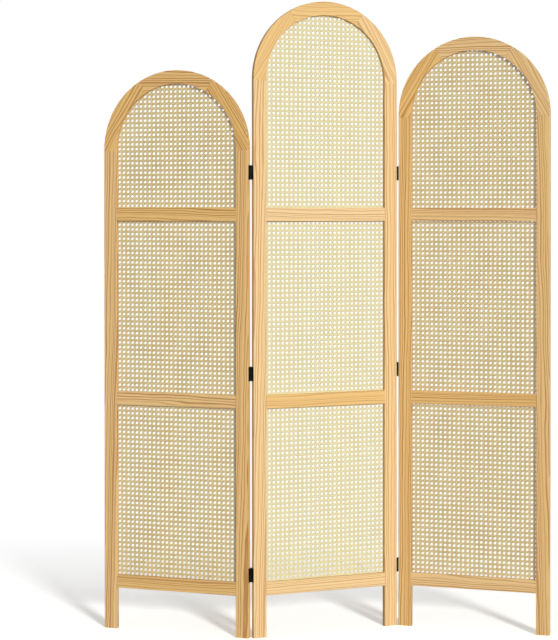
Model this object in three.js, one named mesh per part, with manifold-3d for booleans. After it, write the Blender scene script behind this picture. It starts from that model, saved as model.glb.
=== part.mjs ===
// Three-panel folding screen with arched tops: pine frames, woven cane panels held by reed
// splines, and two rows of butt hinges. Millimetres, +Z up, the front facing -Y.
// A panel's own frame has X across it, Y through it (front at -Y) and its origin on the floor.
import * as THREE from 'three';
import Module from 'manifold-3d';
import { mergeGeometries, mergeVertices } from 'three/addons/utils/BufferGeometryUtils.js';

const wasm = await Module();
wasm.setup();

// ---- driving dimensions ----

// Panels
const panelWidth = 450;
const tallestHeight = 1800;
const heightStep = 98; // each panel is this much lower than the next taller one
const frameThickness = 14;
const stileWidth = 39;
const railHeight = 38;
const legHeight = 118; // floor to the underside of the bottom rail
const archBaySide = 167; // straight side of the lowest panel's upper bay, up to the arch's centre
const archFoot = 4; // straight stretch of the arch below its centre
const archMitres = [60, 120]; // degrees, where the three arch segments meet

// How the screen stands: each panel's turn about the vertical, in degrees
const turns = { left: -20.5, centre: 25, right: -20 };

// Joints in the wood
const jointGap = 0.3; // between parts that are glued or seated together
const tenonLength = 10;
const tenonThickness = 5;
const tenonInset = 2.5; // from the front face to the tenon
const railTenonWidth = 22;
const archTenonWidth = 18;
const archTenonOffset = 2; // from the middle of the arch, away from the cane groove

// Cane panels, laid in a rebate in the back of the frame
const rebateDepth = 2;
const caneThickness = 1.4;
const ledgeWidth = 5; // bay edge to groove
const grooveWidth = 4.4;
const grooveFloor = 9; // from the front face to the bottom of the groove
const tuckThickness = 0.8; // cane edge turned down into the groove
const netPitch = 72;
const netStrand = 30;

// Butt hinges
const panelGap = 3; // between neighbouring frames when the screen is flat
const pinStandOff = 2.2; // pin centre outside the face that it folds against
const hingeHeight = 40;
const lowestHinge = 177; // floor to the centre of the lowest hinge
const topHingeDrop = 63; // shortest stile's top to the centre of the highest hinge
const knuckleCount = 5;
const knuckleGap = 0.35;
const barrelRadius = 2.1;
const boreRadius = 1.3;
const pinRadius = 1;
const pinHeadRadius = 1.8;
const pinHeadHeight = 0.9;
const leafThickness = 1.2;
const leafWidth = 12;
const leafRecess = 0.5; // how far a leaf is let into the stile
const plateClearance = 0.4; // leaf plate to the other leaf's knuckles
const screwHoleRadius = 1.6;
const screwSpacing = 24;

// Fineness of the round shapes
const archStep = 7.5; // degrees
const roundSides = 8;
const screwSides = 8;

// ---- sizes that follow ----

const halfThickness = frameThickness / 2;
const bayHalfWidth = panelWidth / 2 - stileWidth;
const archMiddle = panelWidth / 2 - stileWidth / 2; // radius of the arch's centre line
const grooveOuter = ledgeWidth + grooveWidth;
const heights = {
  left: tallestHeight - 2 * heightStep,
  centre: tallestHeight,
  right: tallestHeight - heightStep,
};
const shortestHeight = Math.min(...Object.values(heights));
const railStack = shortestHeight - panelWidth / 2 - archBaySide - legHeight;
const bayHeight = (railStack - 3 * railHeight) / 2; // clear height of the lower and middle bays
const railBottoms = {
  bottom: legHeight,
  middle: legHeight + railHeight + bayHeight,
  top: legHeight + 2 * (railHeight + bayHeight),
};
const stileTop = (height) => height - panelWidth / 2 - archFoot;
const highestHinge = stileTop(shortestHeight) - topHingeDrop;
const hingeCentres = {
  lower: lowestHinge,
  middle: (lowestHinge + highestHinge) / 2,
  upper: highestHinge,
};

// ---- finishes ----

const pine = { color: 0xe8c690, roughness: 0.55, metalness: 0 };
const cane = { color: 0xe9e0b9, roughness: 0.6, metalness: 0 };
const reed = { color: 0xdcc795, roughness: 0.6, metalness: 0 };
const blackSteel = { color: 0x1d1d1f, roughness: 0.45, metalness: 0.7 };

// ---- shape helpers ----

const radians = THREE.MathUtils.degToRad;

function named(name, geometry, finish) {
  const mesh = new THREE.Mesh(geometry, new THREE.MeshStandardMaterial(finish));
  mesh.name = name;
  return mesh;
}

function solidFrom(geometry) {
  const bare = geometry.clone();
  bare.deleteAttribute('normal');
  bare.deleteAttribute('uv');
  const merged = mergeVertices(bare, 1e-4);
  return new wasm.Manifold(new wasm.Mesh({
    numProp: 3,
    vertProperties: new Float32Array(merged.attributes.position.array),
    triVerts: new Uint32Array(merged.index.array),
  }));
}

function geometryFrom(solid) {
  const mesh = solid.getMesh();
  const geometry = new THREE.BufferGeometry();
  geometry.setAttribute('position', new THREE.BufferAttribute(mesh.vertProperties, 3));
  geometry.setIndex(new THREE.BufferAttribute(mesh.triVerts, 1));
  return geometry.toNonIndexed();
}

const joined = (solids) => solids.reduce((whole, solid) => whole.add(solid));

// A block between two values on each axis, given in either order
function block([x0, x1], [y0, y1], [z0, z1]) {
  const geometry = new THREE.BoxGeometry(Math.abs(x1 - x0), Math.abs(y1 - y0), Math.abs(z1 - z0));
  geometry.translate((x0 + x1) / 2, (y0 + y1) / 2, (z0 + z1) / 2);
  return geometry;
}

// A flat X-Z outline given thickness from its front face to its back face
function slab(shape, front, back) {
  const geometry = new THREE.ExtrudeGeometry(shape, { depth: back - front, bevelEnabled: false });
  geometry.rotateX(Math.PI / 2);
  geometry.translate(0, back, 0);
  return geometry;
}

function uprightCylinder(radius, height, sides) {
  return new THREE.CylinderGeometry(radius, radius, height, sides).rotateX(Math.PI / 2);
}

function arcPoints(centreZ, radius, from, to) {
  const steps = Math.ceil((to - from) / archStep - 1e-6);
  return Array.from({ length: steps + 1 }, (_, i) => {
    const angle = radians(from + ((to - from) * i) / steps);
    return new THREE.Vector2(radius * Math.cos(angle), centreZ + radius * Math.sin(angle));
  });
}

// ---- bays ----

// The three openings of a panel, from the floor up; the upper one ends in the arch
function baysOf(height) {
  const archCentre = height - panelWidth / 2;
  return {
    lower: { bottom: railBottoms.bottom + railHeight, top: railBottoms.middle },
    middle: { bottom: railBottoms.middle + railHeight, top: railBottoms.top },
    upper: { bottom: railBottoms.top + railHeight, top: archCentre, arched: true },
  };
}

// A bay's outline, grown outwards by a margin
function bayOutline({ bottom, top, arched }, margin) {
  const side = bayHalfWidth + margin;
  const points = [new THREE.Vector2(-side, bottom - margin), new THREE.Vector2(side, bottom - margin)];
  if (arched) points.push(...arcPoints(top, side, 0, 180));
  else points.push(new THREE.Vector2(side, top + margin), new THREE.Vector2(-side, top + margin));
  return points;
}

// A flat ring around a bay, between two margins
function bayRing(bay, inner, outer, front, back) {
  const shape = new THREE.Shape(bayOutline(bay, outer));
  shape.holes.push(new THREE.Path(bayOutline(bay, inner)));
  return slab(shape, front, back);
}

// What the router takes out of the frame's back around a bay: a rebate, and a groove in it
function bayCut(bay) {
  const rebateFloor = halfThickness - rebateDepth;
  const rebate = slab(new THREE.Shape(bayOutline(bay, grooveOuter)), rebateFloor, frameThickness);
  const groove = bayRing(bay, ledgeWidth, grooveOuter, grooveFloor - halfThickness, frameThickness);
  return solidFrom(rebate).add(solidFrom(groove));
}

// ---- wood ----

const tenonFront = tenonInset - halfThickness;
const tenonBack = tenonFront + tenonThickness;

// A tenon, or the mortise that takes it when grown by the joint gap
function tongue(across, along, grow) {
  const widen = ([low, high]) => [low - grow, high + grow];
  return solidFrom(block(widen(across), widen([tenonFront, tenonBack]), widen(along)));
}

function railTenon(bottom, side, grow) {
  const inner = bayHalfWidth - tenonLength / 2; // rooted inside the rail
  const across = [inner, bayHalfWidth + tenonLength].map((x) => x * side).sort((a, b) => a - b);
  const middle = bottom + railHeight / 2;
  return tongue(across, [middle - railTenonWidth / 2, middle + railTenonWidth / 2], grow);
}

// The tenon across an arch joint, at an angle round the arch. It points the way that direction says:
// 1 towards greater angles, -1 towards smaller ones.
function archTenon(archCentre, angle, direction, grow) {
  const middle = archMiddle + archTenonOffset;
  const across = [middle - archTenonWidth / 2, middle + archTenonWidth / 2];
  const along = [-direction * tenonLength / 2, direction * tenonLength].sort((a, b) => a - b);
  return tongue(across, along, grow).rotate([0, -angle, 0]).translate([0, 0, archCentre]);
}

// The tenon on a stile's top, which goes up into the arch
function stileTenon(height, side, grow) {
  const middle = side * (archMiddle + archTenonOffset);
  const top = stileTop(height);
  const across = [middle - archTenonWidth / 2, middle + archTenonWidth / 2];
  return tongue(across, [top - tenonLength / 2, top + tenonLength], grow);
}

// The shallow recess in a stile's edge that a hinge leaf lies in, open at the face it folds against
function leafRecessCut(centre, side, facing) {
  const edge = panelWidth / 2;
  const reach = barrelRadius + plateClearance;
  const pin = facing * (halfThickness + pinStandOff);
  const deepest = pin - facing * (reach + leafWidth + jointGap);
  const half = hingeHeight / 2 + jointGap;
  return solidFrom(block(
    [side * (edge - leafRecess), side * (edge + leafRecess)],
    [deepest, facing * frameThickness],
    [centre - half, centre + half],
  ));
}

function stile(height, side, cuts, facing) {
  const inner = bayHalfWidth;
  let solid = solidFrom(block(
    [side * inner, side * panelWidth / 2],
    [-halfThickness, halfThickness],
    [0, stileTop(height)],
  ));
  solid = solid.add(stileTenon(height, side, 0)).subtract(cuts);
  for (const bottom of Object.values(railBottoms)) {
    solid = solid.subtract(railTenon(bottom, side, jointGap));
  }
  if (facing) {
    for (const centre of Object.values(hingeCentres)) {
      solid = solid.subtract(leafRecessCut(centre, side, facing));
    }
  }
  return geometryFrom(solid);
}

function rail(bottom, cuts) {
  const end = bayHalfWidth - jointGap;
  const bar = solidFrom(block(
    [-end, end],
    [-halfThickness, halfThickness],
    [bottom, bottom + railHeight],
  ));
  const tenons = [-1, 1].map((side) => railTenon(bottom, side, 0));
  return geometryFrom(joined([bar, ...tenons]).subtract(cuts));
}

// A ring sector of the arch, with its straight foot where it meets a stile
function archSector(archCentre, from, to, foot) {
  const outer = arcPoints(archCentre, panelWidth / 2, from, to);
  const inner = arcPoints(archCentre, bayHalfWidth, from, to).reverse();
  const points = [...outer, ...inner];
  if (foot) {
    const level = archCentre - archFoot + jointGap;
    const feet = [bayHalfWidth, panelWidth / 2].map((x) => new THREE.Vector2(foot * x, level));
    if (foot > 0) points.push(...feet);
    else points.splice(outer.length, 0, ...feet.reverse());
  }
  return solidFrom(slab(new THREE.Shape(points), -halfThickness, halfThickness));
}

function archPieces(height, cuts) {
  const centre = height - panelWidth / 2;
  const [first, second] = archMitres;
  const gapAngle = THREE.MathUtils.radToDeg(jointGap / bayHalfWidth);
  const rightEnd = archSector(centre, 0, first, 1)
    .subtract(archTenon(centre, first, -1, jointGap))
    .subtract(stileTenon(height, 1, jointGap));
  const leftEnd = archSector(centre, second, 180, -1)
    .subtract(archTenon(centre, second, 1, jointGap))
    .subtract(stileTenon(height, -1, jointGap));
  const crown = archSector(centre, first + gapAngle, second - gapAngle, 0)
    .add(archTenon(centre, first, -1, 0))
    .add(archTenon(centre, second, 1, 0));
  return {
    arch_left: geometryFrom(leftEnd.subtract(cuts)),
    arch_crown: geometryFrom(crown.subtract(cuts)),
    arch_right: geometryFrom(rightEnd.subtract(cuts)),
  };
}

// ---- cane and its reed splines ----

// The openings of the net that lie wholly inside a bay
function netGaps({ bottom, top, arched }) {
  const height = (arched ? top + bayHalfWidth : top) - bottom;
  const columns = Math.round((2 * bayHalfWidth) / netPitch);
  const rows = arched ? Math.floor(height / netPitch) : Math.round(height / netPitch);
  const pitchX = (2 * bayHalfWidth) / columns;
  const pitchZ = arched ? netPitch : height / rows;
  const gaps = [];
  for (let row = 0; row < rows; row += 1) {
    for (let column = 0; column < columns; column += 1) {
      const left = -bayHalfWidth + column * pitchX + netStrand / 2;
      const right = left + pitchX - netStrand;
      const low = bottom + row * pitchZ + netStrand / 2;
      const high = low + pitchZ - netStrand;
      const corner = Math.hypot(Math.max(-left, right), Math.max(high - top, 0));
      if (!arched || corner < bayHalfWidth) gaps.push([left, right, low, high]);
    }
  }
  return gaps;
}

// The woven sheet lies on the rebate's ledge, and its edge is turned down into the groove
function caneSheet(bay) {
  const tuckInner = ledgeWidth + jointGap;
  const tuckOuter = tuckInner + tuckThickness;
  const front = halfThickness - rebateDepth + jointGap;
  const shape = new THREE.Shape(bayOutline(bay, tuckOuter));
  const sheet = solidFrom(slab(shape, front, front + caneThickness));
  const gaps = netGaps(bay).map(([left, right, low, high]) => (
    block([left, right], [0, frameThickness], [low, high])
  ));
  const tuckEnd = grooveFloor - halfThickness + jointGap;
  const tuck = solidFrom(bayRing(bay, tuckInner, tuckOuter, tuckEnd, front + caneThickness / 2));
  return geometryFrom(sheet.subtract(solidFrom(mergeGeometries(gaps))).add(tuck));
}

// The reed fills the rest of the groove and wedges the cane's edge in it
function reedSpline(bay) {
  const inner = ledgeWidth + tuckThickness + 2 * jointGap;
  const floor = grooveFloor - halfThickness + jointGap;
  return bayRing(bay, inner, grooveOuter - jointGap, floor, halfThickness - jointGap);
}

// ---- panels ----

// facings says which stiles carry hinges, and which face the hinge folds against
function panel(side, facings) {
  const height = heights[side];
  const bays = baysOf(height);
  const cuts = joined(Object.values(bays).map(bayCut));
  const group = new THREE.Group();
  const add = (name, geometry, finish) => group.add(named(`${side}_${name}`, geometry, finish));
  add('stile_left', stile(height, -1, cuts, facings.left), pine);
  add('stile_right', stile(height, 1, cuts, facings.right), pine);
  for (const [name, geometry] of Object.entries(archPieces(height, cuts))) add(name, geometry, pine);
  for (const [name, bottom] of Object.entries(railBottoms)) {
    add(`rail_${name}`, rail(bottom, cuts), pine);
  }
  for (const [name, bay] of Object.entries(bays)) {
    add(`cane_${name}`, caneSheet(bay), cane);
    add(`spline_${name}`, reedSpline(bay), reed);
  }
  return group;
}

// ---- hinges ----

// One leaf, about the pin's axis. side is which way its panel lies (+X or -X), facing is which
// way the pin stands out of the faces, and knuckles are counted from the bottom.
function hingeLeaf(side, facing, knuckles) {
  const pitch = hingeHeight / knuckleCount;
  const outer = panelGap / 2 + leafRecess - jointGap;
  const across = [side * (outer - leafThickness), side * outer];
  const reach = barrelRadius + plateClearance;
  const middle = -facing * (reach + leafWidth / 2);
  let leaf = solidFrom(block(
    across,
    [middle - leafWidth / 2, middle + leafWidth / 2],
    [-hingeHeight / 2, hingeHeight / 2],
  ));
  for (const knuckle of knuckles) {
    const low = -hingeHeight / 2 + knuckle * pitch + knuckleGap / 2;
    const high = low + pitch - knuckleGap;
    const tab = solidFrom(block(across, [0, middle], [low, high]));
    const barrel = solidFrom(uprightCylinder(barrelRadius, high - low, roundSides));
    leaf = leaf.add(tab).add(barrel.translate([0, 0, (low + high) / 2]));
  }
  leaf = leaf.subtract(solidFrom(uprightCylinder(boreRadius, 2 * hingeHeight, roundSides)));
  for (const end of [-1, 1]) {
    const depth = 2 * leafWidth; // well past both faces of the plate
    const hole = new THREE.CylinderGeometry(screwHoleRadius, screwHoleRadius, depth, screwSides);
    hole.rotateZ(Math.PI / 2);
    hole.translate((across[0] + across[1]) / 2, middle, (end * screwSpacing) / 2);
    leaf = leaf.subtract(solidFrom(hole));
  }
  return geometryFrom(leaf);
}

// The pin, with a button head at each end to keep it in the knuckles
function hingePin() {
  const shank = hingeHeight / 2 + knuckleGap;
  const tip = shank + pinHeadHeight;
  const profile = [
    [0, -tip],
    [pinHeadRadius, -tip],
    [pinHeadRadius, -shank],
    [pinRadius, -shank],
    [pinRadius, shank],
    [pinHeadRadius, shank],
    [pinHeadRadius, tip],
    [0, tip],
  ].map(([x, y]) => new THREE.Vector2(x, y));
  return new THREE.LatheGeometry(profile, roundSides).rotateX(Math.PI / 2);
}

// A row of three hinges joining the centre panel to its neighbour on one side. The fixed group
// holds what stays with the centre panel, the swung group what turns with the neighbour.
function hingeRow(neighbour, side, facing) {
  const fixed = new THREE.Group();
  const swung = new THREE.Group();
  const knuckles = Array.from({ length: knuckleCount }, (_, i) => i);
  const fixedKnuckles = knuckles.filter((knuckle) => knuckle % 2 === 0);
  const swungKnuckles = knuckles.filter((knuckle) => knuckle % 2 === 1);
  for (const [level, centre] of Object.entries(hingeCentres)) {
    const stem = `${neighbour}_hinge_${level}`;
    fixed.add(named(`${stem}_centre_leaf`, hingeLeaf(-side, facing, fixedKnuckles), blackSteel));
    fixed.add(named(`${stem}_pin`, hingePin(), blackSteel));
    swung.add(named(`${stem}_side_leaf`, hingeLeaf(side, facing, swungKnuckles), blackSteel));
    for (const mesh of [...fixed.children.slice(-2), swung.children.at(-1)]) mesh.position.z = centre;
  }
  return { fixed, swung };
}

// ---- the whole screen ----

const hingeReach = panelWidth / 2 + panelGap / 2; // panel's middle to the pin, along the panel
const pinDepth = halfThickness + pinStandOff; // panel's middle to the pin, through the panel

// A neighbour panel and its hinges, placed in the centre panel's frame
function hungPanel(name, side, facing, facings) {
  const { fixed, swung } = hingeRow(name, side, facing);
  const neighbour = panel(name, facings);
  neighbour.position.set(side * hingeReach, -facing * pinDepth, 0);
  swung.add(neighbour);
  swung.rotation.z = radians(turns[name] - turns.centre);
  const pivot = new THREE.Group();
  pivot.position.set(side * hingeReach, facing * pinDepth, 0);
  pivot.add(fixed, swung);
  return pivot;
}

// The left panel folds behind the centre one, and the right panel folds in front of it
const BACK = 1;
const FRONT = -1;
const centrePanel = panel('centre', { left: BACK, right: FRONT });
centrePanel.add(hungPanel('left', -1, BACK, { right: BACK }));
centrePanel.add(hungPanel('right', 1, FRONT, { left: FRONT }));
centrePanel.rotation.z = radians(turns.centre);

// The origin is on the floor under the middle of the standing screen
const screen = new THREE.Group();
screen.add(centrePanel);
screen.updateMatrixWorld(true);
const middle = new THREE.Box3().setFromObject(screen, true).getCenter(new THREE.Vector3());
screen.position.set(-middle.x, -middle.y, 0);
screen.updateMatrixWorld(true);

export default screen;
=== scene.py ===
"""Three-panel folding screen with arched tops: pine frames, woven cane and black butt hinges.

Lengths are in metres. A panel's own axes are X across it, Y through it with the front at -Y, and Z
up from the floor. A hinge's own axes are the same, from the middle of its pin.
"""
import math
import random
from collections import namedtuple

import bmesh
import bpy
from mathutils import Matrix, Vector


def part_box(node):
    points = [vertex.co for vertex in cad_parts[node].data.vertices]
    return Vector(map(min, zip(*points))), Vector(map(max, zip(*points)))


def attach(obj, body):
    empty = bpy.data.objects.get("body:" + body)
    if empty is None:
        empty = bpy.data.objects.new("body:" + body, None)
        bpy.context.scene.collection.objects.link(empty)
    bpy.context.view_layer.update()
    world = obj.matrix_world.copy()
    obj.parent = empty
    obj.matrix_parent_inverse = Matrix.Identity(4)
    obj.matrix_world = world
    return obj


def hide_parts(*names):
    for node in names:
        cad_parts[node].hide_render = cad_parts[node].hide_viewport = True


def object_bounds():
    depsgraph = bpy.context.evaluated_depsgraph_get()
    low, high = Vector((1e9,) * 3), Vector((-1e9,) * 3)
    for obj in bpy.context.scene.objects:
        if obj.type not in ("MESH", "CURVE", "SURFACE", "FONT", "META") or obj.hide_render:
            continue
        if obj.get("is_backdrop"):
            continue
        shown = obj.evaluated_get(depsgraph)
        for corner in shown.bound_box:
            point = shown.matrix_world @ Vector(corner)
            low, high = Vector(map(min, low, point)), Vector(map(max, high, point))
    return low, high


MM = 0.001
SAME_SPOT = 0.001 * MM  # corners this close are one

# ---- a panel's own axes ----
RIGHT = Vector((1, 0, 0))
THROUGH = Vector((0, 1, 0))
UP = Vector((0, 0, 1))

# ---- pine frames ----
THICKNESS = 14 * MM
FRONT = -THICKNESS / 2
BACK = THICKNESS / 2
STILE_WIDTH = 39 * MM
ARCH_FOOT = 4 * MM  # straight stretch of the arch below its centre
ARCH_MITRES = {"right": (0, 60), "crown": (60, 120), "left": (180, 120)}  # degrees, start and end
SEAM = 0.12 * MM  # what each board stops short of a glued joint
EASE = 1 * MM  # sanded round on the long edges
EASE_STEPS = 3
ARRIS = 0.25 * MM  # knocked off the edges at a joint
ARRIS_STEPS = 2
FOOT_EASE = 0.8 * MM
ARC_STEP = math.radians(2.5)
CREASE = math.radians(40)  # the shading stays sharp where faces bend by more than this

# ---- the tree that the boards were cut from ----
YEAR = 6 * MM  # how much it grew in a year
RING_STRAY = 16 * MM  # how far its rings stray from round
RING_STRAY_SIZE = 40 * MM
FIBRE = 0.9 * MM  # drawn coarser than real fibres, which are too fine to show
# Each board's place in the tree is drawn at random between these
HEART_ACROSS = (28, 70)  # millimetres from the tree's heart to the board's middle, to one side
HEART_BEHIND = (15, 45)  # the same, through the board
GRAIN_SLOPE = 0.03  # the most that the grain leans off along a board
TREE_LENGTH = 20  # metres, long enough that no two boards are alike
# Each panel's boards: from palest to deepest, and from the faintest late wood to the strongest.
# Within a panel the tone differs at random from board to board; the centre panel's paler boards and
# fainter late wood are painted sheen, standing in for the lamp's brighter light and sheen on that
# panel
TONE_AND_SHEEN = {"left": (0.5, 1), "centre": (0, 0.45), "right": (0.3, 0.9)}
FIGURE_AND_SHEEN = {"left": (0.8, 1), "centre": (0.45, 0.7), "right": (0.7, 0.95)}
DEEPER = ("centre_arch_left", "centre_arch_crown", "centre_rail_middle")  # from a darker plank
DEEPER_TONE = 0.6  # added to those boards' tone

# ---- rebate and groove in the back of the frame ----
REBATE_FLOOR = BACK - 2 * MM
LEDGE = 5 * MM
GROOVE_WIDTH = 4.4 * MM
GROOVE_FLOOR = FRONT + 9 * MM

# ---- cane webbing ----
PITCH = 13.57 * MM  # half-inch webbing
PAIR = 1.6 * MM  # a strand's middle from its pair's middle
STRAND_WIDTH = 1.9 * MM
RISING_WIDTH = 2.9 * MM  # of a diagonal that climbs to the right, seen from the front
FALLING_WIDTH = 2.2 * MM
CANE_THICKNESS = 0.6 * MM
SKIN_SHARE = 0.62  # width of the strand's rounded skin against its back
PAIR_RISE = 0.5 * MM  # how far a strand of a pair goes over and under the other pairs
DIAGONAL_RISE = 1.1 * MM
CROSSING = 3.3 * MM  # half the length that a diagonal lies level over a pair
SHEET_DEPTH = REBATE_FLOOR + 1.05 * MM  # middle of the woven sheet
CANE_MARGIN = LEDGE + 1.1 * MM  # where the strands go down beside the reed
# The middle of a hole in each panel's weave, across from the panel's middle and up from the floor
HOLES = {
    "left": (7.9 * MM, 403.8 * MM),
    "centre": (5.45 * MM, 408.5 * MM),
    "right": (7.75 * MM, 401.7 * MM),
}
PAINTED_CANE_SHEEN = {"left": 0, "centre": 0.65, "right": 0}  # how far each panel's cane is painted paler: a painted sheen, standing in for the lamp's sheen on the centre panel
WELD = 0.01 * MM  # ends of cane this close are joined
ON_CUT = 1e-7  # metres from a cut's plane at which a corner counts as on it
ARCH_CUTS = 24  # straight cuts that trim a sheet to its arch

# ---- reed splines ----
REED_INNER = LEDGE + 1.2 * MM
REED_OUTER = LEDGE + GROOVE_WIDTH - 0.1 * MM
REED_FLOOR = GROOVE_FLOOR + 0.3 * MM
REED_TOP = BACK - 0.1 * MM
REED_ROUND = 1.3 * MM
REED_ROUND_STEPS = 4

# ---- butt hinges ----
HINGE_HEIGHT = 40 * MM
KNUCKLES = 5
KNUCKLE_GAP = 0.2 * MM
BARREL = 2.1 * MM
BORE = 1.15 * MM
PLATE_NEAR = 0.5 * MM  # pin's middle to the plate's open face, along the panel
PLATE_FAR = 1.7 * MM
PLATE_START = 2.5 * MM  # pin's middle to the plate's near edge, through the panel
PLATE_END = 14.5 * MM
PLATE_CORNER = 2.2 * MM
PLATE_CORNER_STEPS = 6
RECESS_SPARE = 0.3 * MM
TAB_REACH = 1.5 * PLATE_START  # pin's middle to where a knuckle's tab ends within the plate
SCREW_SPACING = 24 * MM
SCREW_HEAD = 2.7 * MM
SCREW_SHANK = 1.3 * MM
SCREW_LENGTH = 11 * MM
SCREW_POINT = 2 * MM
HEAD_DEPTH = 1.1 * MM
HEAD_LIP = (0.15 * MM, 0.12 * MM)  # eased off the head's rim, across and along
CROSS_DEPTH = 0.8 * MM  # of the cross recess in the head
CROSS_WIDTH = 0.35 * MM  # half of each arm's width, and below half of its length
CROSS_LENGTH = 1.6 * MM
SINK_SPARE = 0.1 * MM  # a countersunk hole's rim past the screw's head
SINK_DEPTH = 4 * MM  # past the plate's far face
OVERCUT = 1 * MM  # how far a cutting tool starts before the face that it enters
PIN_RADIUS = 1 * MM
PIN_HEAD = 1.8 * MM
PIN_HEAD_HEIGHT = 0.9 * MM
PIN_SHOULDER = 0.8 * PIN_HEAD  # where the head's dome turns down to its rim
ROUND_STEPS = 32

# Which face each row of hinges folds against, and the stile of each panel that it is let into
HINGE_ROWS = {
    "left": {"facing": 1, "stiles": {"left": 1, "centre": -1}},
    "right": {"facing": -1, "stiles": {"right": -1, "centre": 1}},
}
LEVELS = ("lower", "middle", "upper")

# ---- studio ----
FLOOR_SIZE = 60  # metres
FLOOR_GREY = 0.4  # how much light it throws back onto the screen
# What the camera sees of the floor: how strongly the lamp and the sky show on it, and an even
# lift up to white
FLOOR_SEEN = 2
FLOOR_LIFT = 0.21
FADE = (0.25, 1.7)  # metres behind the screen's middle, from first to last of the shadow's fading
SKY_LEVEL = 0.22  # the even light from all round
# The lamp is far away, and low on the right in front
KEY_AZIMUTH = 21.5  # degrees to the right of the front
KEY_ELEVATION = 13.5
KEY_SPREAD = 8  # degrees that the lamp fills, which sets how soft its shadows are
KEY_STRENGTH = 2.55
CAMERA_PLACE = (30.3 * MM, -6082.7 * MM, 1223.3 * MM)
CAMERA_DIP = 0.567  # degrees below level
CAMERA_TURN = -0.025  # degrees to the left of straight back
CAMERA_LENS = 119.77  # millimetres
CAMERA_SHIFT = (-0.0908, -0.1484)

Bay = namedtuple("Bay", "name half low high arched")
Panel = namedtuple("Panel", "name body turn place half stile_top arch_centre rails bays")

random.seed(7)


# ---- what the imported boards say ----

def middle(node):
    low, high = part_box(node)
    return (low + high) / 2


def read_panel(name):
    """A panel's place and sizes, from its packed boards."""
    left = middle(f"{name}_stile_left").to_2d()
    right = middle(f"{name}_stile_right").to_2d()
    across = right - left
    turn = Matrix.Rotation(math.atan2(across.y, across.x), 4, "Z")
    place = Matrix.Translation(((left + right) / 2).to_3d()) @ turn
    half = (across.length + STILE_WIDTH) / 2
    arch_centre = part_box(f"{name}_arch_crown")[1].z - half
    rails = {}
    for level in ("bottom", "middle", "top"):
        low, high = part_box(f"{name}_rail_{level}")
        rails[level] = (low.z, high.z)
    bay_half = half - STILE_WIDTH
    bays = [
        Bay("lower", bay_half, rails["bottom"][1], rails["middle"][0], False),
        Bay("middle", bay_half, rails["middle"][1], rails["top"][0], False),
        Bay("upper", bay_half, rails["top"][1], arch_centre, True),
    ]
    stile_top = arch_centre - ARCH_FOOT
    return Panel(name, f"{name}_panel", turn, place, half, stile_top, arch_centre, rails, bays)


# ---- mesh helpers ----

def piece_from(name, bm, place=Matrix()):
    """An object at the origin that holds the finished bmesh at its place."""
    bmesh.ops.recalc_face_normals(bm, faces=bm.faces[:])
    mesh = bpy.data.meshes.new(name)
    bm.to_mesh(mesh)
    bm.free()
    mesh.transform(place)
    piece = bpy.data.objects.new(name, mesh)
    bpy.context.scene.collection.objects.link(piece)
    return piece


def finish_piece(piece, material, slot, body, *nodes):
    """Gives a piece its material and puts it on its body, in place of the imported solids."""
    piece.data.materials.clear()
    piece.data.materials.append(material)
    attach(piece, body)
    if nodes:
        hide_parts(*nodes)


def shade_round(piece):
    """Smooth shading on the rounded edges, with the broad faces kept flat."""
    mesh = piece.data
    mesh.polygons.foreach_set("use_smooth", [True] * len(mesh.polygons))
    mesh.set_sharp_from_angle(angle=CREASE)
    weighted = piece.modifiers.new("flat faces", "WEIGHTED_NORMAL")
    weighted.keep_sharp = True


def settle(piece):
    """Applies a piece's modifiers to its mesh."""
    evaluated = piece.evaluated_get(bpy.context.evaluated_depsgraph_get())
    mesh = bpy.data.meshes.new_from_object(evaluated)
    piece.modifiers.clear()
    piece.data = mesh


def carve(piece, tool, operation="DIFFERENCE"):
    """Cuts a tool out of a piece, or joins it on."""
    boolean = piece.modifiers.new("carve", "BOOLEAN")
    boolean.operation = operation
    boolean.solver = "EXACT"
    boolean.object = tool
    settle(piece)


def discard(piece):
    bpy.data.objects.remove(piece)


def is_vert(item):
    return isinstance(item, bmesh.types.BMVert)


def is_edge(item):
    return isinstance(item, bmesh.types.BMEdge)


def is_face(item):
    return isinstance(item, bmesh.types.BMFace)


def with_border(faces):
    """Faces with all their edges and corners, so that an extrusion takes them along."""
    edges = {edge for face in faces for edge in face.edges}
    verts = {vert for face in faces for vert in face.verts}
    return [*faces, *edges, *verts]


def push(bm, faces, offset, lone=False):
    """Extrudes faces by an offset and returns the moved faces. Lone faces stay as the other end."""
    grown = bmesh.ops.extrude_face_region(bm, geom=faces if lone else with_border(faces))["geom"]
    bmesh.ops.translate(bm, vec=offset, verts=list(filter(is_vert, grown)))
    return list(filter(is_face, grown))


def block(bm, low, high):
    """A plain block between two corners, given in any order."""
    corners = [Vector(map(pick, low, high)) for pick in (min, max)]
    made = bmesh.ops.create_cube(bm, size=1)["verts"]
    bmesh.ops.scale(bm, vec=corners[1] - corners[0], verts=made)
    bmesh.ops.translate(bm, vec=(corners[0] + corners[1]) / 2, verts=made)
    return made


def round_edges(bm, edges, radius, steps=EASE_STEPS):
    bmesh.ops.bevel(
        bm,
        geom=edges,
        offset=radius,
        segments=steps,
        profile=0.5,
        affect="EDGES",
        material=-1,
        clamp_overlap=True,
    )


def edges_along(bm, axis):
    """The edges that run along one axis."""
    found = []
    for edge in bm.edges:
        run = edge.verts[1].co - edge.verts[0].co
        if abs(run[axis]) > 0.999 * run.length:
            found.append(edge)
    return found


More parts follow.
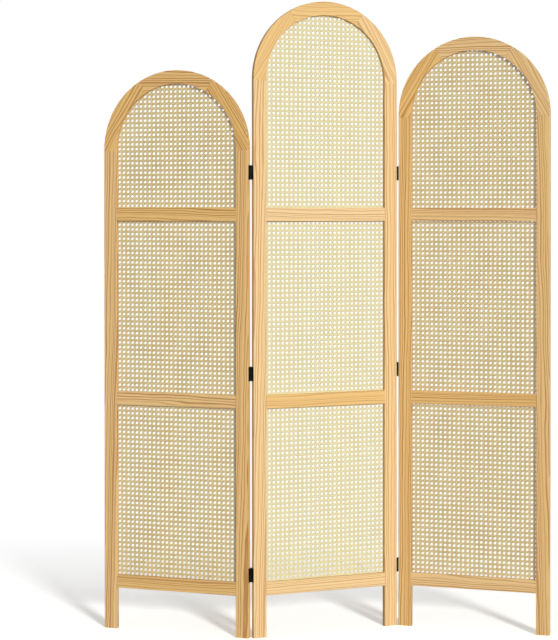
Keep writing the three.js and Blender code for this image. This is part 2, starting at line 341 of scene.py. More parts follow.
def turned_solid(bm, profile, centre=Vector(), axis=UP, out=RIGHT):
    """Turns a profile of (radius, height) points about an axis, closed on it or on itself."""
    verts = [bm.verts.new(centre + out * radius + axis * height) for radius, height in profile]
    edges = [bm.edges.new(pair) for pair in zip(verts, verts[1:])]
    if profile[0][0] > 0:
        edges.append(bm.edges.new((verts[-1], verts[0])))
    bmesh.ops.spin(
        bm,
        geom=[*verts, *edges],
        cent=centre,
        axis=axis,
        angle=math.tau,
        steps=ROUND_STEPS,
        use_merge=True,
    )
    bmesh.ops.remove_doubles(bm, verts=bm.verts[:], dist=SAME_SPOT)


def turned_piece(name, profile, place=Matrix(), **about):
    bm = bmesh.new()
    turned_solid(bm, profile, **about)
    return piece_from(name, bm, place)


# ---- boards ----

def eased_board(low, high, axis, foot=False):
    """A planed board between two corners, its long edges eased and its ends kept crisp."""
    bm = bmesh.new()
    block(bm, low, high)
    round_edges(bm, edges_along(bm, axis), EASE)
    ends = [face for face in bm.faces if len(face.verts) > 4]
    for face in sorted(ends, key=lambda end: end.calc_center_median().z):
        is_foot = foot and face.calc_center_median().z < THICKNESS
        round_edges(bm, face.edges[:], FOOT_EASE if is_foot else ARRIS, ARRIS_STEPS)
    return bm


def board_section(bm):
    """A board's cross-section as one level face, its corners eased."""
    bmesh.ops.create_grid(bm, x_segments=1, y_segments=1, size=0.5)
    bmesh.ops.scale(bm, vec=(STILE_WIDTH, THICKNESS, 1), verts=bm.verts[:])
    bmesh.ops.bevel(
        bm,
        geom=bm.verts[:],
        offset=EASE,
        segments=EASE_STEPS,
        profile=0.5,
        affect="VERTICES",
        material=-1,
    )


def arch_board(panel, start, end):
    """A curved board of the arch between two angles, with the arch's foot where it starts level."""
    bm = bmesh.new()
    board_section(bm)
    sweep = math.radians(end - start)
    seam = math.copysign(SEAM / (panel.half - STILE_WIDTH), sweep)
    centre = Vector((0, 0, panel.arch_centre))
    has_foot = start in (0, 180)
    foot = ARCH_FOOT - SEAM if has_foot else 0
    side = -1 if start == 180 else 1
    spot = (side * (panel.half - STILE_WIDTH / 2), 0, panel.arch_centre - foot)
    bmesh.ops.translate(bm, vec=spot, verts=bm.verts[:])
    moving = bm.faces[:]
    if has_foot:
        moving = push(bm, moving, (0, 0, foot), lone=True)
    else:
        turn = Matrix.Rotation(-math.radians(start) - seam, 3, "Y")
        bmesh.ops.rotate(bm, cent=centre, matrix=turn, verts=bm.verts[:])
        moving = push(bm, moving, (0, 0, 0), lone=True)
        sweep -= seam
    bmesh.ops.spin(
        bm,
        geom=with_border(moving),
        cent=centre,
        axis=(0, -1, 0),
        angle=sweep - seam,
        steps=round(abs(sweep) / ARC_STEP),
    )
    bmesh.ops.remove_doubles(bm, verts=bm.verts[:], dist=SAME_SPOT)
    for face in [face for face in bm.faces if len(face.verts) > 4]:
        round_edges(bm, face.edges[:], ARRIS, ARRIS_STEPS)
    return bm


def outline(bm, bay, margin, depth):
    """One face with a bay's outline, grown by a margin, at a depth through the panel."""
    side = bay.half + margin
    points = [(-side, depth, bay.low - margin), (side, depth, bay.low - margin)]
    verts = [bm.verts.new(point) for point in points]
    if bay.arched:
        corner = bm.verts.new((side, depth, bay.high))
        bmesh.ops.spin(
            bm,
            geom=[corner],
            cent=(0, depth, bay.high),
            axis=(0, -1, 0),
            angle=math.pi,
            steps=round(math.pi / ARC_STEP),
        )
        last = bm.verts[:][-1]
        ends = [corner, last]
    else:
        ends = [bm.verts.new((x, depth, bay.high + margin)) for x in (side, -side)]
        bm.edges.new(ends)
    for pair in ((verts[0], verts[1]), (verts[1], ends[0]), (ends[1], verts[0])):
        bm.edges.new(pair)
    return bmesh.ops.contextual_create(bm, geom=bm.edges[:])["faces"]


def routed_bay(bay):
    """What the router takes out of the frame's back round a bay: a rebate and a groove."""
    bm = bmesh.new()
    outside = BACK + LEDGE
    face = outline(bm, bay, LEDGE + GROOVE_WIDTH, outside)
    floor = push(bm, face, (0, REBATE_FLOOR - outside, 0), lone=True)
    ring = bmesh.ops.inset_region(bm, faces=floor, thickness=GROOVE_WIDTH, use_even_offset=True)
    push(bm, ring["faces"], (0, GROOVE_FLOOR - REBATE_FLOOR, 0))
    return bm


def hinge_recess(panel, side, facing, level):
    """The shallow recess in a stile's edge that a hinge plate lies in."""
    bm = bmesh.new()
    pin = panel.place.inverted() @ level
    edge = side * panel.half
    depth = PLATE_FAR - (abs(pin.x) - panel.half)
    low = (edge - side * depth, pin.y - facing * (PLATE_END + RECESS_SPARE), pin.z)
    high = (edge + side * depth, facing * THICKNESS, pin.z)
    reach = Vector((0, 0, HINGE_HEIGHT / 2 + RECESS_SPARE))
    block(bm, Vector(low) - reach, Vector(high) + reach)
    return bm


def frame_cutter(panel):
    """All that is routed out of one panel's frame, as one tool."""
    parts = [routed_bay(bay) for bay in panel.bays]
    for row, hinge in HINGE_ROWS.items():
        if panel.name in hinge["stiles"]:
            for level in LEVELS:
                pin = middle(f"{row}_hinge_{level}_pin")
                parts.append(hinge_recess(panel, hinge["stiles"][panel.name], hinge["facing"], pin))
    whole = bmesh.new()
    for part in parts:
        bmesh.ops.recalc_face_normals(part, faces=part.faces[:])
        mesh = bpy.data.meshes.new("routed")
        part.to_mesh(mesh)
        part.free()
        whole.from_mesh(mesh)
        bpy.data.meshes.remove(mesh)
    return piece_from(f"{panel.name}_routed", whole)


def mark_all(piece, name, value):
    """Keeps one value for the whole piece, for its material."""
    mark = piece.data.attributes.new(name, "FLOAT", "POINT")
    mark.data.foreach_set("value", [value] * len(piece.data.vertices))


def mark_grain(piece, along, centre, panel):
    """Keeps where each point lies in the tree: along the grain, and across and behind its heart."""
    across = THROUGH.cross(along)
    aside = random.choice((-1, 1)) * random.uniform(*HEART_ACROSS) * MM
    behind = random.uniform(*HEART_BEHIND) * MM
    slope = random.uniform(-GRAIN_SLOPE, GRAIN_SLOPE)
    start = random.uniform(0, TREE_LENGTH)
    tone = random.uniform(*TONE_AND_SHEEN[panel.name])
    if piece.name.startswith(DEEPER):
        tone += DEEPER_TONE
    figure = random.uniform(*FIGURE_AND_SHEEN[panel.name])
    points = [vert.co - centre for vert in piece.data.vertices]
    spots = [
        (
            point.dot(along) + start,
            point.dot(across) + point.dot(along) * slope + aside,
            point.y + behind,
        )
        for point in points
    ]
    grain = piece.data.attributes.new("grain", "FLOAT_VECTOR", "POINT")
    grain.data.foreach_set("vector", [value for spot in spots for value in spot])
    mark_all(piece, "tone", tone)
    mark_all(piece, "figure", figure)


def boards_of(panel):
    """Each board's name, its bmesh, the way its grain runs and its middle, in the panel's axes."""
    inner = panel.half - STILE_WIDTH
    for side, word in ((-1, "left"), (1, "right")):
        low = Vector((side * inner, FRONT, 0))
        high = Vector((side * panel.half, BACK, panel.stile_top))
        yield f"stile_{word}", eased_board(low, high, 2, foot=True), UP, (low + high) / 2
    for word, (bottom, top) in panel.rails.items():
        low = Vector((SEAM - inner, FRONT, bottom))
        high = Vector((inner - SEAM, BACK, top))
        yield f"rail_{word}", eased_board(low, high, 0), RIGHT, (low + high) / 2
    for word, (start, end) in ARCH_MITRES.items():
        angle = math.radians((start + end) / 2)
        out = Vector((math.cos(angle), 0, math.sin(angle)))
        chord = Vector((-math.sin(angle), 0, math.cos(angle)))
        centre = Vector((0, 0, panel.arch_centre)) + out * (panel.half - STILE_WIDTH / 2)
        yield f"arch_{word}", arch_board(panel, start, end), chord, centre


def make_frame(panel, pine):
    cutter = frame_cutter(panel)
    for word, bm, along, centre in boards_of(panel):
        node = f"{panel.name}_{word}"
        piece = piece_from(f"{node}_board", bm)
        carve(piece, cutter)
        mark_grain(piece, along, centre, panel)
        piece.data.transform(panel.place)
        shade_round(piece)
        finish_piece(piece, pine, "pine_frame", panel.body, node)
    discard(cutter)


# ---- cane webbing ----

def lay_strand(bm, stops, across, width):
    """An open length of flat cane through the stops, with its rounded skin to the front."""
    back = CANE_THICKNESS / 2
    section = [
        (width / 2, back),
        (width * SKIN_SHARE / 2, -back),
        (-width * SKIN_SHARE / 2, -back),
        (-width / 2, back),
    ]
    lie = bm.loops.layers.uv["strand"]
    run = 0
    offsets = [across * wide + THROUGH * deep for wide, deep in section]
    ring = [bm.verts.new(stops[0] + offset) for offset in offsets]
    spots = {vert: (run, wide) for vert, (wide, _) in zip(ring, section)}
    loop = [bm.edges.new((ring[i - 1], ring[i])) for i in range(len(ring))]
    for before, stop in zip(stops, stops[1:]):
        run += (stop - before).length
        grown = bmesh.ops.extrude_edge_only(bm, edges=loop)["geom"]
        ring = list(filter(is_vert, grown))
        spots.update({vert: (run, (vert.co - before).dot(across)) for vert in ring})
        bmesh.ops.translate(bm, vec=stop - before, verts=ring)
        for face in filter(is_face, grown):
            for corner in face.loops:
                corner[lie].uv = spots[corner.vert]
        loop = [edge for edge in filter(is_edge, grown) if set(edge.verts) <= set(ring)]


def lay_pairs(bm):
    """The upright and the level pairs of strands, each strand over and then under the others."""
    for run, across, order in ((UP, RIGHT, 1), (RIGHT, UP, -1)):
        for side in (-1, 1):
            rise = order * side * PAIR_RISE
            start = across * side * PAIR - run * PAIR
            stops = [
                start - THROUGH * rise,
                start + run * 2 * PAIR + THROUGH * rise,
                start + run * PITCH - THROUGH * rise,
            ]
            lay_strand(bm, stops, across, STRAND_WIDTH)


def lay_diagonals(bm):
    """A strand each way across the holes' corners, over the pairs one way and under the others."""
    half_step = PITCH / math.sqrt(2)
    for lean, order, width in ((1, -1, RISING_WIDTH), (-1, 1, FALLING_WIDTH)):
        run = (RIGHT * lean + UP).normalized()
        across = (RIGHT - UP * lean).normalized()
        start = RIGHT * PITCH / 2
        spots = [
            (-CROSSING, order),
            (CROSSING, order),
            (half_step - CROSSING, -order),
            (half_step + CROSSING, -order),
            (2 * half_step - CROSSING, order),
        ]
        stops = [start + run * place + THROUGH * way * DIAGONAL_RISE for place, way in spots]
        lay_strand(bm, stops, across, width)


def weave_cell():
    """One repeat of the weave: a pair's crossing at its middle and its holes at its corners."""
    bm = bmesh.new()
    bm.loops.layers.uv.new("strand")
    lay_pairs(bm)
    lay_diagonals(bm)
    return bm


def repeat(piece, offset, count):
    array = piece.modifiers.new("repeat", "ARRAY")
    array.use_relative_offset = False
    array.use_constant_offset = True
    array.constant_offset_displace = offset
    array.count = count
    array.use_merge_vertices = True
    array.merge_threshold = WELD


def trim(bm, spot, out):
    """Cuts off what lies beyond a plane and closes the cut ends."""
    cut = bmesh.ops.bisect_plane(
        bm,
        geom=[*bm.verts, *bm.edges, *bm.faces],
        dist=ON_CUT,
        plane_co=spot,
        plane_no=out,
        clear_outer=True,
    )
    rims = [item for item in cut["geom_cut"] if is_edge(item) and item.is_boundary]
    bmesh.ops.holes_fill(bm, edges=rims, sides=0)


def trim_to_bay(bm, bay):
    """Cuts the weave to the bay's outline, just inside the groove."""
    side = bay.half + CANE_MARGIN
    trim(bm, (side, 0, 0), (1, 0, 0))
    trim(bm, (-side, 0, 0), (-1, 0, 0))
    trim(bm, (0, 0, bay.low - CANE_MARGIN), (0, 0, -1))
    if not bay.arched:
        trim(bm, (0, 0, bay.high + CANE_MARGIN), (0, 0, 1))
        return
    centre = Vector((0, 0, bay.high))
    step = math.pi / ARCH_CUTS
    reach = side * (1 + math.cos(step / 2)) / 2
    for cut in range(ARCH_CUTS):
        angle = (cut + 0.5) * step
        out = Vector((math.cos(angle), 0, math.sin(angle)))
        trim(bm, centre + out * reach, out)


def make_cane(panel, bay, cane):
    node = f"{panel.name}_cane_{bay.name}"
    hole = HOLES[panel.name]
    top = bay.high + (bay.half if bay.arched else 0) + PITCH
    column = math.floor((-bay.half - hole[0]) / PITCH) - 1
    row = math.floor((bay.low - hole[1]) / PITCH) - 2
    first = Vector((hole[0] + (column + 0.5) * PITCH, SHEET_DEPTH, hole[1] + (row + 0.5) * PITCH))
    piece = piece_from(f"{node}_weave", weave_cell(), Matrix.Translation(first))
    repeat(piece, (PITCH, 0, 0), math.ceil(2 * bay.half / PITCH) + 4)
    repeat(piece, (0, 0, PITCH), math.ceil((top - first.z) / PITCH) + 2)
    settle(piece)
    bm = bmesh.new()
    bm.from_mesh(piece.data)
    trim_to_bay(bm, bay)
    bmesh.ops.holes_fill(bm, edges=[edge for edge in bm.edges if edge.is_boundary], sides=0)
    bmesh.ops.recalc_face_normals(bm, faces=bm.faces[:])
    bm.to_mesh(piece.data)
    bm.free()
    mark_all(piece, "paler", PAINTED_CANE_SHEEN[panel.name])
    piece.data.transform(panel.place)
    finish_piece(piece, cane, "cane_webbing", panel.body, node)


# ---- reed splines ----

def make_reed(panel, bay, reed):
    """The reed driven into the groove over the cane's edge, its back rounded."""
    node = f"{panel.name}_spline_{bay.name}"
    bm = bmesh.new()
    face = outline(bm, bay, REED_OUTER, REED_FLOOR)
    width = REED_OUTER - REED_INNER
    bmesh.ops.inset_region(bm, faces=face, thickness=width, use_even_offset=True, use_boundary=True)
    bmesh.ops.delete(bm, geom=face, context="FACES_ONLY")
    top = push(bm, bm.faces[:], (0, REED_TOP - REED_FLOOR, 0), lone=True)
    rims = [edge for face in top for edge in face.edges if edge.calc_face_angle() > 1]
    round_edges(bm, rims, REED_ROUND, REED_ROUND_STEPS)
    piece = piece_from(f"{node}_reed", bm, panel.place)
    shade_round(piece)
    finish_piece(piece, reed, "reed_spline", panel.body, node)


# ---- hinges ----

def plate(bm, side, facing):
    """The flat of a leaf, with the two corners away from the pin rounded off."""
    low = (side * PLATE_NEAR, -facing * PLATE_START, -HINGE_HEIGHT / 2)
    high = (side * PLATE_FAR, -facing * PLATE_END, HINGE_HEIGHT / 2)
    block(bm, low, high)
    halfway = (PLATE_START + PLATE_END) / 2
    far = [edge for edge in edges_along(bm, 0) if abs(edge.verts[0].co.y) > halfway]
    round_edges(bm, far, PLATE_CORNER, PLATE_CORNER_STEPS)


def knuckle_span(number):
    pitch = HINGE_HEIGHT / KNUCKLES
    low = -HINGE_HEIGHT / 2 + number * pitch + KNUCKLE_GAP / 2
    return low, low + pitch - KNUCKLE_GAP


def screw_spots(side, facing):
    """Where a leaf's screws enter its open face."""
    depth = -facing * (PLATE_START + PLATE_END) / 2
    return [Vector((side * PLATE_NEAR, depth, end * SCREW_SPACING / 2)) for end in (-1, 1)]


def roll_knuckle(leaf, number, side, facing):
    """Adds a knuckle to a leaf: the tab that leaves the plate, and the barrel round the pin."""
    low, high = knuckle_span(number)
    past_low = low - OVERCUT
    past_high = high + OVERCUT
    bm = bmesh.new()
    block(bm, (side * PLATE_NEAR, -facing * TAB_REACH, low), (side * PLATE_FAR, 0, high))
    tab = piece_from("tab", bm)
    barrel = turned_piece("barrel", [(BORE, low), (BARREL, low), (BARREL, high), (BORE, high)])
    core = [(0, past_low), (BORE, past_low), (BORE, past_high), (0, past_high)]
    bore = turned_piece("bore", core)
    carve(tab, bore)
    carve(leaf, tab, "UNION")
    carve(leaf, barrel, "UNION")
    for tool in (tab, barrel, bore):
        discard(tool)


def sink_hole(leaf, side, spot):
    """Drills and countersinks a screw's hole through a leaf."""
    rim = SCREW_HEAD + SINK_SPARE
    profile = [
        (0, -OVERCUT),
        (rim, -OVERCUT),
        (rim, SINK_SPARE),
        (SCREW_SHANK, HEAD_DEPTH),
        (SCREW_SHANK, SINK_DEPTH),
        (0, SINK_DEPTH),
    ]
    sink = turned_piece("sink", profile, centre=spot, axis=side * RIGHT, out=THROUGH)
    carve(leaf, sink)
    discard(sink)


def make_leaf(name, side, facing, first, place):
    """A leaf: its plate, every second knuckle rolled round the pin, and two countersunk holes."""
    bm = bmesh.new()
    plate(bm, side, facing)
    leaf = piece_from(name, bm)
    for number in range(first, KNUCKLES, 2):
        roll_knuckle(leaf, number, side, facing)
    for spot in screw_spots(side, facing):
        sink_hole(leaf, side, spot)
    leaf.data.transform(place)
    shade_round(leaf)
    return leaf


def make_pin(name, place):
    """The pin, with a domed head at each end."""
    shank = HINGE_HEIGHT / 2
    tip = shank + PIN_HEAD_HEIGHT
    rim = shank + PIN_HEAD_HEIGHT / 3
    upper = [
        (PIN_RADIUS, shank),
        (PIN_HEAD, shank),
        (PIN_HEAD, rim),
        (PIN_SHOULDER, (rim + 2 * tip) / 3),
        (0, tip),
    ]
    lower = [(radius, -height) for radius, height in reversed(upper)]
    pin = turned_piece(name, [*lower, *upper], place)
    shade_round(pin)
    return pin


def make_screw(name, side, spot, place):
    """A countersunk wood screw with a cross recess in its head."""
    profile = [
        (0, 0),
        (SCREW_HEAD - HEAD_LIP[0], 0),
        (SCREW_HEAD, HEAD_LIP[1]),
        (SCREW_SHANK, HEAD_DEPTH),
        (SCREW_SHANK, SCREW_LENGTH - SCREW_POINT),
        (0, SCREW_LENGTH),
    ]
    screw = turned_piece(name, profile, centre=spot, axis=side * RIGHT, out=THROUGH)
    for wide, tall in ((CROSS_WIDTH, CROSS_LENGTH), (CROSS_LENGTH, CROSS_WIDTH)):
        bm = bmesh.new()
        size = Vector((CROSS_DEPTH, wide, tall))
        block(bm, spot - size, spot + size)
        slot = piece_from("slot", bm)
        carve(screw, slot)
        discard(slot)
    screw.data.transform(place)
    shade_round(screw)
    return screw


def make_hinge(row, level, panels, enamel):
    """One hinge: the centre panel's leaf and pin, the side panel's leaf, and four screws."""
    facing = HINGE_ROWS[row]["facing"]
    stem = f"{row}_hinge_{level}"
    pin_spot = Matrix.Translation(middle(f"{stem}_pin"))
    for word, first in (("centre", 0), (row, 1)):
        panel = panels[word]
        side = HINGE_ROWS[row]["stiles"][word] * -1
        node = f"{stem}_{'centre' if word == 'centre' else 'side'}_leaf"
        place = pin_spot @ panel.turn
        leaf = make_leaf(f"{node}_rolled", side, facing, first, place)
        finish_piece(leaf, enamel, "hinge_steel", panel.body, node)
        for number, spot in enumerate(screw_spots(side, facing), 1):
            screw = make_screw(f"{node}_screw_{number}", side, spot, place)
            finish_piece(screw, enamel, "hinge_steel", panel.body)
    pin = make_pin(f"{stem}_pin_turned", pin_spot)
    finish_piece(pin, enamel, "hinge_steel", panels["centre"].body, f"{stem}_pin")


# ---- materials ----

def colour(code):
    """An sRGB hex value as linear RGBA."""
    channels = [int(code[i:i + 2], 16) / 255 for i in (0, 2, 4)]
    linear = [c / 12.92 if c <= 0.04045 else ((c + 0.055) / 1.055) ** 2.4 for c in channels]
    return (*linear, 1)


def add(tree, kind, inputs=None, **settings):
    """Adds a node, sets its properties, and sets or links its inputs."""
    made = tree.nodes.new(kind)
    for name, value in settings.items():
        setattr(made, name, value)
    for name, value in (inputs or {}).items():
        if isinstance(value, bpy.types.NodeSocket):
            tree.links.new(value, made.inputs[name])
        else:
            made.inputs[name].default_value = value
    return made


def new_material(name):
    """A material with its tree and its main shader."""
    material = bpy.data.materials.new(name)
    material.use_nodes = True
    return material, material.node_tree, material.node_tree.nodes["Principled BSDF"]


def lacquered_pine():
    """Scots pine, planed and sanded under a clear satin lacquer.

    Pale early wood darkens slowly to a tan late-wood line and then starts again, and fine fibres
    run along each board.
    """
    material, tree, shader = new_material("lacquered_pine")
    place = add(tree, "ShaderNodeAttribute", attribute_name="grain").outputs["Vector"]
    fibre = stretched_noise(tree, place, 0.03, FIBRE, 3)
    streak = add(
        tree,
        "ShaderNodeMapRange",
        {"Value": fibre, "From Min": 0.3, "From Max": 0.7, "To Min": 0.94, "To Max": 1.04},
    )
    body = add(
        tree,
        "ShaderNodeVectorMath",
        {0: board_colour(tree, place), 1: streak.outputs["Result"]},
        operation="MULTIPLY",
    )
    gloss = add(
        tree,
        "ShaderNodeMapRange",
        {"Value": fibre, "From Min": 0.3, "From Max": 0.7, "To Min": 0.5, "To Max": 0.42},
    )
    relief = add(tree, "ShaderNodeBump", {"Height": fibre, "Strength": 0.2, "Distance": 0.1 * MM})
    tree.links.new(body.outputs["Vector"], shader.inputs["Base Color"])
    tree.links.new(gloss.outputs["Result"], shader.inputs["Roughness"])
    tree.links.new(relief.outputs["Normal"], shader.inputs["Normal"])
    shader.inputs["Specular IOR Level"].default_value = 0.1
    return material


def board_colour(tree, place):
    """Early wood, from pale to deep by the board's tone, under its lines of late wood."""
    # The tone and the late wood's strength also carry painted sheen: the centre panel's boards are
    # drawn paler and with fainter lines
    tone = add(tree, "ShaderNodeAttribute", attribute_name="tone").outputs["Fac"]
    figure = add(tree, "ShaderNodeAttribute", attribute_name="figure").outputs["Fac"]
    early = add(
        tree,
        "ShaderNodeMix",
        {"Factor": tone, "A": colour("FADBA8"), "B": colour("F2C57A")},
        data_type="RGBA",
    )
    late = late_wood(tree, place)
    line = add(tree, "ShaderNodeMath", {0: late, 1: figure}, operation="MULTIPLY")
    wood = add(
        tree,
        "ShaderNodeMix",
        {"Factor": line.outputs["Value"], "A": early.outputs["Result"], "B": colour("A85A1E")},
        data_type="RGBA",
    )
    return wood.outputs["Result"]


def stretched_noise(tree, place, stretch, size, detail):
    """Noise of a given size across the fibres, drawn out along them."""
    drawn = add(tree, "ShaderNodeMapping", {"Vector": place, "Scale": (stretch, 1, 1)})
    made = add(
        tree,
        "ShaderNodeTexNoise",
        {"Vector": drawn.outputs["Vector"], "Scale": 1 / size, "Detail": detail},
    )
    return made.outputs["Fac"]


def age_of_tree(tree, place):
    """How many years old the tree was when it grew each point."""
    section = add(tree, "ShaderNodeMapping", {"Vector": place, "Scale": (0, 1, 1)})
    radius = add(
        tree, "ShaderNodeVectorMath", {0: section.outputs["Vector"]}, operation="LENGTH"
    )
    stray = stretched_noise(tree, place, 0.16, RING_STRAY_SIZE, 2)
    bent = add(
        tree,
        "ShaderNodeMath",
        {0: stray, 1: RING_STRAY, 2: radius.outputs["Value"]},
        operation="MULTIPLY_ADD",
    )
    age = add(tree, "ShaderNodeMath", {0: bent.outputs["Value"], 1: YEAR}, operation="DIVIDE")
    return age.outputs["Value"]


def late_wood(tree, place):
    """How far each point has gone from early wood to the dark line that ends a year.

    Good and poor years come in turn, so some years are wider and darker than others.
    """
    age = age_of_tree(tree, place)
    season = add(
        tree,
        "ShaderNodeTexNoise",
        {"W": age, "Scale": 0.45, "Detail": 1},
        noise_dimensions="1D",
    ).outputs["Fac"]
    uneven = add(tree, "ShaderNodeMath", {0: season, 1: 2.5, 2: age}, operation="MULTIPLY_ADD")
    grown = add(tree, "ShaderNodeMath", {0: uneven.outputs["Value"]}, operation="FRACT")
    passed = grown.outputs["Value"]
    late = add(
        tree,
        "ShaderNodeMapRange",
        {"Value": passed, "From Min": 0.4, "From Max": 0.9},
        interpolation_type="SMOOTHSTEP",
    )
    ended = add(
        tree,
        "ShaderNodeMapRange",
        {"Value": passed, "From Min": 0.9, "From Max": 1, "To Min": 1, "To Max": 0},
    )
    line = add(
        tree,
        "ShaderNodeMath",
        {0: late.outputs["Result"], 1: ended.outputs["Result"]},
        operation="MULTIPLY",
    )
    strength = add(
        tree,
        "ShaderNodeMapRange",
        {"Value": season, "From Min": 0.35, "From Max": 0.6, "To Min": 0.45},
    )
    drawn = add(
        tree,
        "ShaderNodeMath",
        {0: line.outputs["Value"], 1: strength.outputs["Result"]},
        operation="MULTIPLY",
    )
    return drawn.outputs["Value"]


def cane_skin(tree):
    """The skin's straw colour, uneven over a hand's width and in specks."""
    where = add(tree, "ShaderNodeTexCoord").outputs["Object"]
    patch = add(tree, "ShaderNodeTexNoise", {"Vector": where, "Scale": 1 / (60 * MM), "Detail": 2})
    speck = add(tree, "ShaderNodeTexNoise", {"Vector": where, "Scale": 1 / (5 * MM), "Detail": 1})
    blend = add(
        tree,
        "ShaderNodeMath",
        {0: patch.outputs["Fac"], 1: speck.outputs["Fac"]},
        operation="MULTIPLY",
    )
    amount = add(
        tree,
        "ShaderNodeMapRange",
        {"Value": blend.outputs["Value"], "From Min": 0.15, "From Max": 0.4},
    )
    skin = add(
        tree,
        "ShaderNodeMix",
        {"Factor": amount.outputs["Result"], "A": colour("E8CC76"), "B": colour("F7E69D")},
        data_type="RGBA",
    )
    return skin.outputs["Result"]


def split_edge(tree, lie):
    """0 along the middle of a strand's skin, and 1 on its split edges."""
    along = add(tree, "ShaderNodeSeparateXYZ", {"Vector": lie})
    offside = add(tree, "ShaderNodeMath", {0: along.outputs["Y"]}, operation="ABSOLUTE")
    split = add(
        tree,
        "ShaderNodeMapRange",
        {"Value": offside.outputs["Value"], "From Min": 0.5 * MM, "From Max": 1 * MM},
    )
    return split.outputs["Result"]


def woven_cane():
    """Rattan cane, peeled, split and machine-woven.

    The outer skin is smooth and straw-coloured with fine lines along it. The split edges are
    brown.
    """
    material, tree, shader = new_material("woven_cane")
    lie = add(tree, "ShaderNodeUVMap", uv_map="strand").outputs["UV"]
    straw = add(
        tree,
        "ShaderNodeMix",
        {"Factor": split_edge(tree, lie), "A": cane_skin(tree), "B": colour("AA8745")},
        data_type="RGBA",
    )
    # Painted sheen: the centre panel's cane is mixed towards a pale straw colour, standing in for
    # the lamp's sheen on it
    paler = add(tree, "ShaderNodeAttribute", attribute_name="paler").outputs["Fac"]
    with_painted_sheen = add(
        tree,
        "ShaderNodeMix",
        {"Factor": paler, "A": straw.outputs["Result"], "B": colour("F4EDB8")},
        data_type="RGBA",
    )
    lines = stretched_noise(tree, lie, 0.05, 0.3 * MM, 2)
    relief = add(tree, "ShaderNodeBump", {"Height": lines, "Strength": 0.3, "Distance": 0.05 * MM})
    tree.links.new(with_painted_sheen.outputs["Result"], shader.inputs["Base Color"])
    tree.links.new(relief.outputs["Normal"], shader.inputs["Normal"])
    shader.inputs["Roughness"].default_value = 0.5
    return material


def split_reed():
    """Rattan reed, peeled to its core: dull, a little darker than the cane, with fine pores."""
    material, tree, shader = new_material("split_reed")
    where = add(tree, "ShaderNodeTexCoord").outputs["Object"]
    speckle = add(
        tree, "ShaderNodeTexNoise", {"Vector": where, "Scale": 1 / (1.5 * MM), "Detail": 3}
    )
    pores = speckle.outputs["Fac"]
    tint = add(
        tree,
        "ShaderNodeMix",
        {"Factor": pores, "A": colour("CDB47C"), "B": colour("E0CB98")},
        data_type="RGBA",
    )
    relief = add(tree, "ShaderNodeBump", {"Height": pores, "Strength": 0.3, "Distance": 0.1 * MM})
    tree.links.new(tint.outputs["Result"], shader.inputs["Base Color"])
    tree.links.new(relief.outputs["Normal"], shader.inputs["Normal"])
    shader.inputs["Roughness"].default_value = 0.65
    return material


def black_enamel():
    """Mild steel under baked black enamel: near black, half gloss, with a faint orange peel."""
    material, tree, shader = new_material("black_enamel")
    where = add(tree, "ShaderNodeTexCoord").outputs["Object"]
    peel = add(tree, "ShaderNodeTexNoise", {"Vector": where, "Scale": 1 / (0.8 * MM), "Detail": 1})
    relief = add(
        tree,
        "ShaderNodeBump",
        {"Height": peel.outputs["Fac"], "Strength": 0.15, "Distance": 0.05 * MM},
    )
    tree.links.new(relief.outputs["Normal"], shader.inputs["Normal"])
    shader.inputs["Base Color"].default_value = colour("0E0C0C")
    shader.inputs["Roughness"].default_value = 0.45
    shader.inputs["Specular IOR Level"].default_value = 0.2
    return material


def seen_directly(tree):
    """1 for the camera's rays and those that polished or clear things pass on to it, else 0."""
    path = add(tree, "ShaderNodeLightPath").outputs
    straight = add(
        tree,
        "ShaderNodeMath",
        {0: path["Is Camera Ray"], 1: path["Is Glossy Ray"]},
        operation="MAXIMUM",
    )
    clear = add(
        tree,
        "ShaderNodeMath",
        {0: straight.outputs["Value"], 1: path["Is Transmission Ray"]},
        operation="MAXIMUM",
    )
    return clear.outputs["Value"]


def white_floor():
    """Matt white paper.

    The camera sees it lifted to white with the screen's shadow on it, and behind the screen the
    shadow fades until all is plain white.
    """
    material, tree, shader = new_material("white_paper")
    shader.inputs["Roughness"].default_value = 0.9
    shader.inputs["Specular IOR Level"].default_value = 0
    seen = seen_directly(tree)
    grey = add(
        tree, "ShaderNodeMapRange", {"Value": seen, "To Min": FLOOR_GREY, "To Max": FLOOR_SEEN}
    )
    where = add(tree, "ShaderNodeTexCoord").outputs["Object"]
    depth = add(tree, "ShaderNodeSeparateXYZ", {"Vector": where}).outputs["Y"]
    fade = add(
        tree, "ShaderNodeMapRange", {"Value": depth, "From Min": FADE[0], "From Max": FADE[1]}
    )
    far = add(tree, "ShaderNodeMath", {0: seen, 1: fade.outputs["Result"]}, operation="MULTIPLY")
    lift = add(tree, "ShaderNodeMath", {0: seen, 1: FLOOR_LIFT}, operation="MULTIPLY")
    tree.links.new(grey.outputs["Result"], shader.inputs["Base Color"])
    shader.inputs["Emission Color"].default_value = (1, 1, 1, 1)
    tree.links.new(lift.outputs["Value"], shader.inputs["Emission Strength"])
    white = add(tree, "ShaderNodeEmission", {"Strength": 1})
    whole = add(tree, "ShaderNodeMixShader", {"Fac": far.outputs["Value"]})
    tree.links.new(shader.outputs["BSDF"], whole.inputs[1])
    tree.links.new(white.outputs["Emission"], whole.inputs[2])
    tree.links.new(whole.outputs["Shader"], tree.nodes["Material Output"].inputs["Surface"])
    return material


# ---- floor, light and camera ----

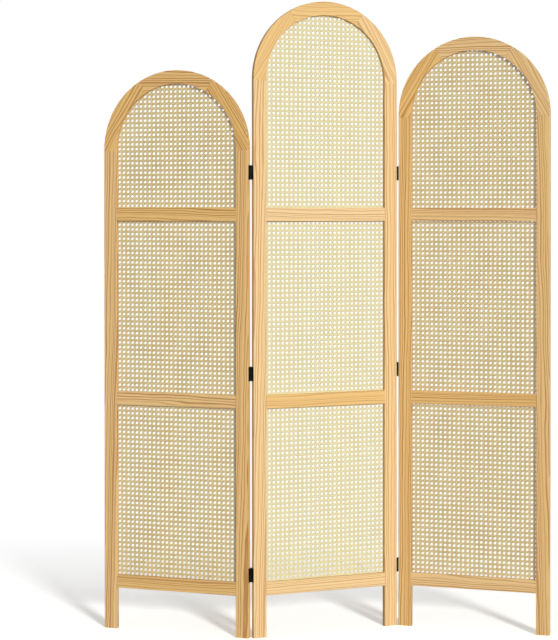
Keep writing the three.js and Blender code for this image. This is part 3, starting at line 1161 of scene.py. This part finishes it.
def add_floor():
    bm = bmesh.new()
    bmesh.ops.create_grid(bm, x_segments=1, y_segments=1, size=FLOOR_SIZE / 2)
    mesh = bpy.data.meshes.new("floor")
    bm.to_mesh(mesh)
    bm.free()
    mesh.materials.append(white_floor())
    floor = bpy.data.objects.new("floor", mesh)
    bpy.context.scene.collection.objects.link(floor)
    floor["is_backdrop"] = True


def add_sky():
    """Even light from all round, seen as white."""
    world = bpy.data.worlds.new("studio")
    world.use_nodes = True
    tree = world.node_tree
    level = add(
        tree, "ShaderNodeMapRange", {"Value": seen_directly(tree), "To Min": SKY_LEVEL, "To Max": 1}
    )
    tree.links.new(level.outputs["Result"], tree.nodes["Background"].inputs["Strength"])
    tree.nodes["Background"].inputs["Color"].default_value = (1, 1, 1, 1)
    bpy.context.scene.world = world


def add_lamp():
    data = bpy.data.lights.new("key", "SUN")
    data.angle = math.radians(KEY_SPREAD)
    data.energy = KEY_STRENGTH
    lamp = bpy.data.objects.new("key", data)
    lamp.rotation_euler = (math.radians(90 - KEY_ELEVATION), 0, math.radians(KEY_AZIMUTH))
    bpy.context.scene.collection.objects.link(lamp)


def add_camera():
    """The photograph's view: a long lens low in front, its frame shifted down and to the left."""
    data = bpy.data.cameras.new("camera")
    data.lens = CAMERA_LENS
    data.sensor_width = 36
    data.shift_x, data.shift_y = CAMERA_SHIFT
    data.clip_end = 2 * FLOOR_SIZE
    camera = bpy.data.objects.new("camera", data)
    camera.location = CAMERA_PLACE
    camera.rotation_euler = (math.radians(90 - CAMERA_DIP), 0, math.radians(CAMERA_TURN))
    bpy.context.scene.collection.objects.link(camera)
    bpy.context.scene.camera = camera


# ---- the whole scene ----

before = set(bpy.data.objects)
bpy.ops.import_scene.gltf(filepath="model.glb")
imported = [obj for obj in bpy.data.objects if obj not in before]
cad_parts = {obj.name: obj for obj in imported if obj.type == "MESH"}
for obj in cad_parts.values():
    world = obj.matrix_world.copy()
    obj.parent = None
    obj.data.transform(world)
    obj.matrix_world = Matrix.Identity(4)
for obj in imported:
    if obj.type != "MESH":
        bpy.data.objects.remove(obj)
cad_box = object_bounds()

add_camera()
add_lamp()
add_sky()
add_floor()
bpy.context.scene.view_settings.view_transform = "Standard"

pine = lacquered_pine()
cane = woven_cane()
reed = split_reed()
enamel = black_enamel()

panels = {name: read_panel(name) for name in ("left", "centre", "right")}
for panel in panels.values():
    make_frame(panel, pine)
    for bay in panel.bays:
        make_cane(panel, bay, cane)
        make_reed(panel, bay, reed)
for row in HINGE_ROWS:
    for level in LEVELS:
        make_hinge(row, level, panels, enamel)

boxes = {"cad": cad_box, "visual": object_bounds()}
{name: [list(corner) for corner in box] for name, box in boxes.items()}
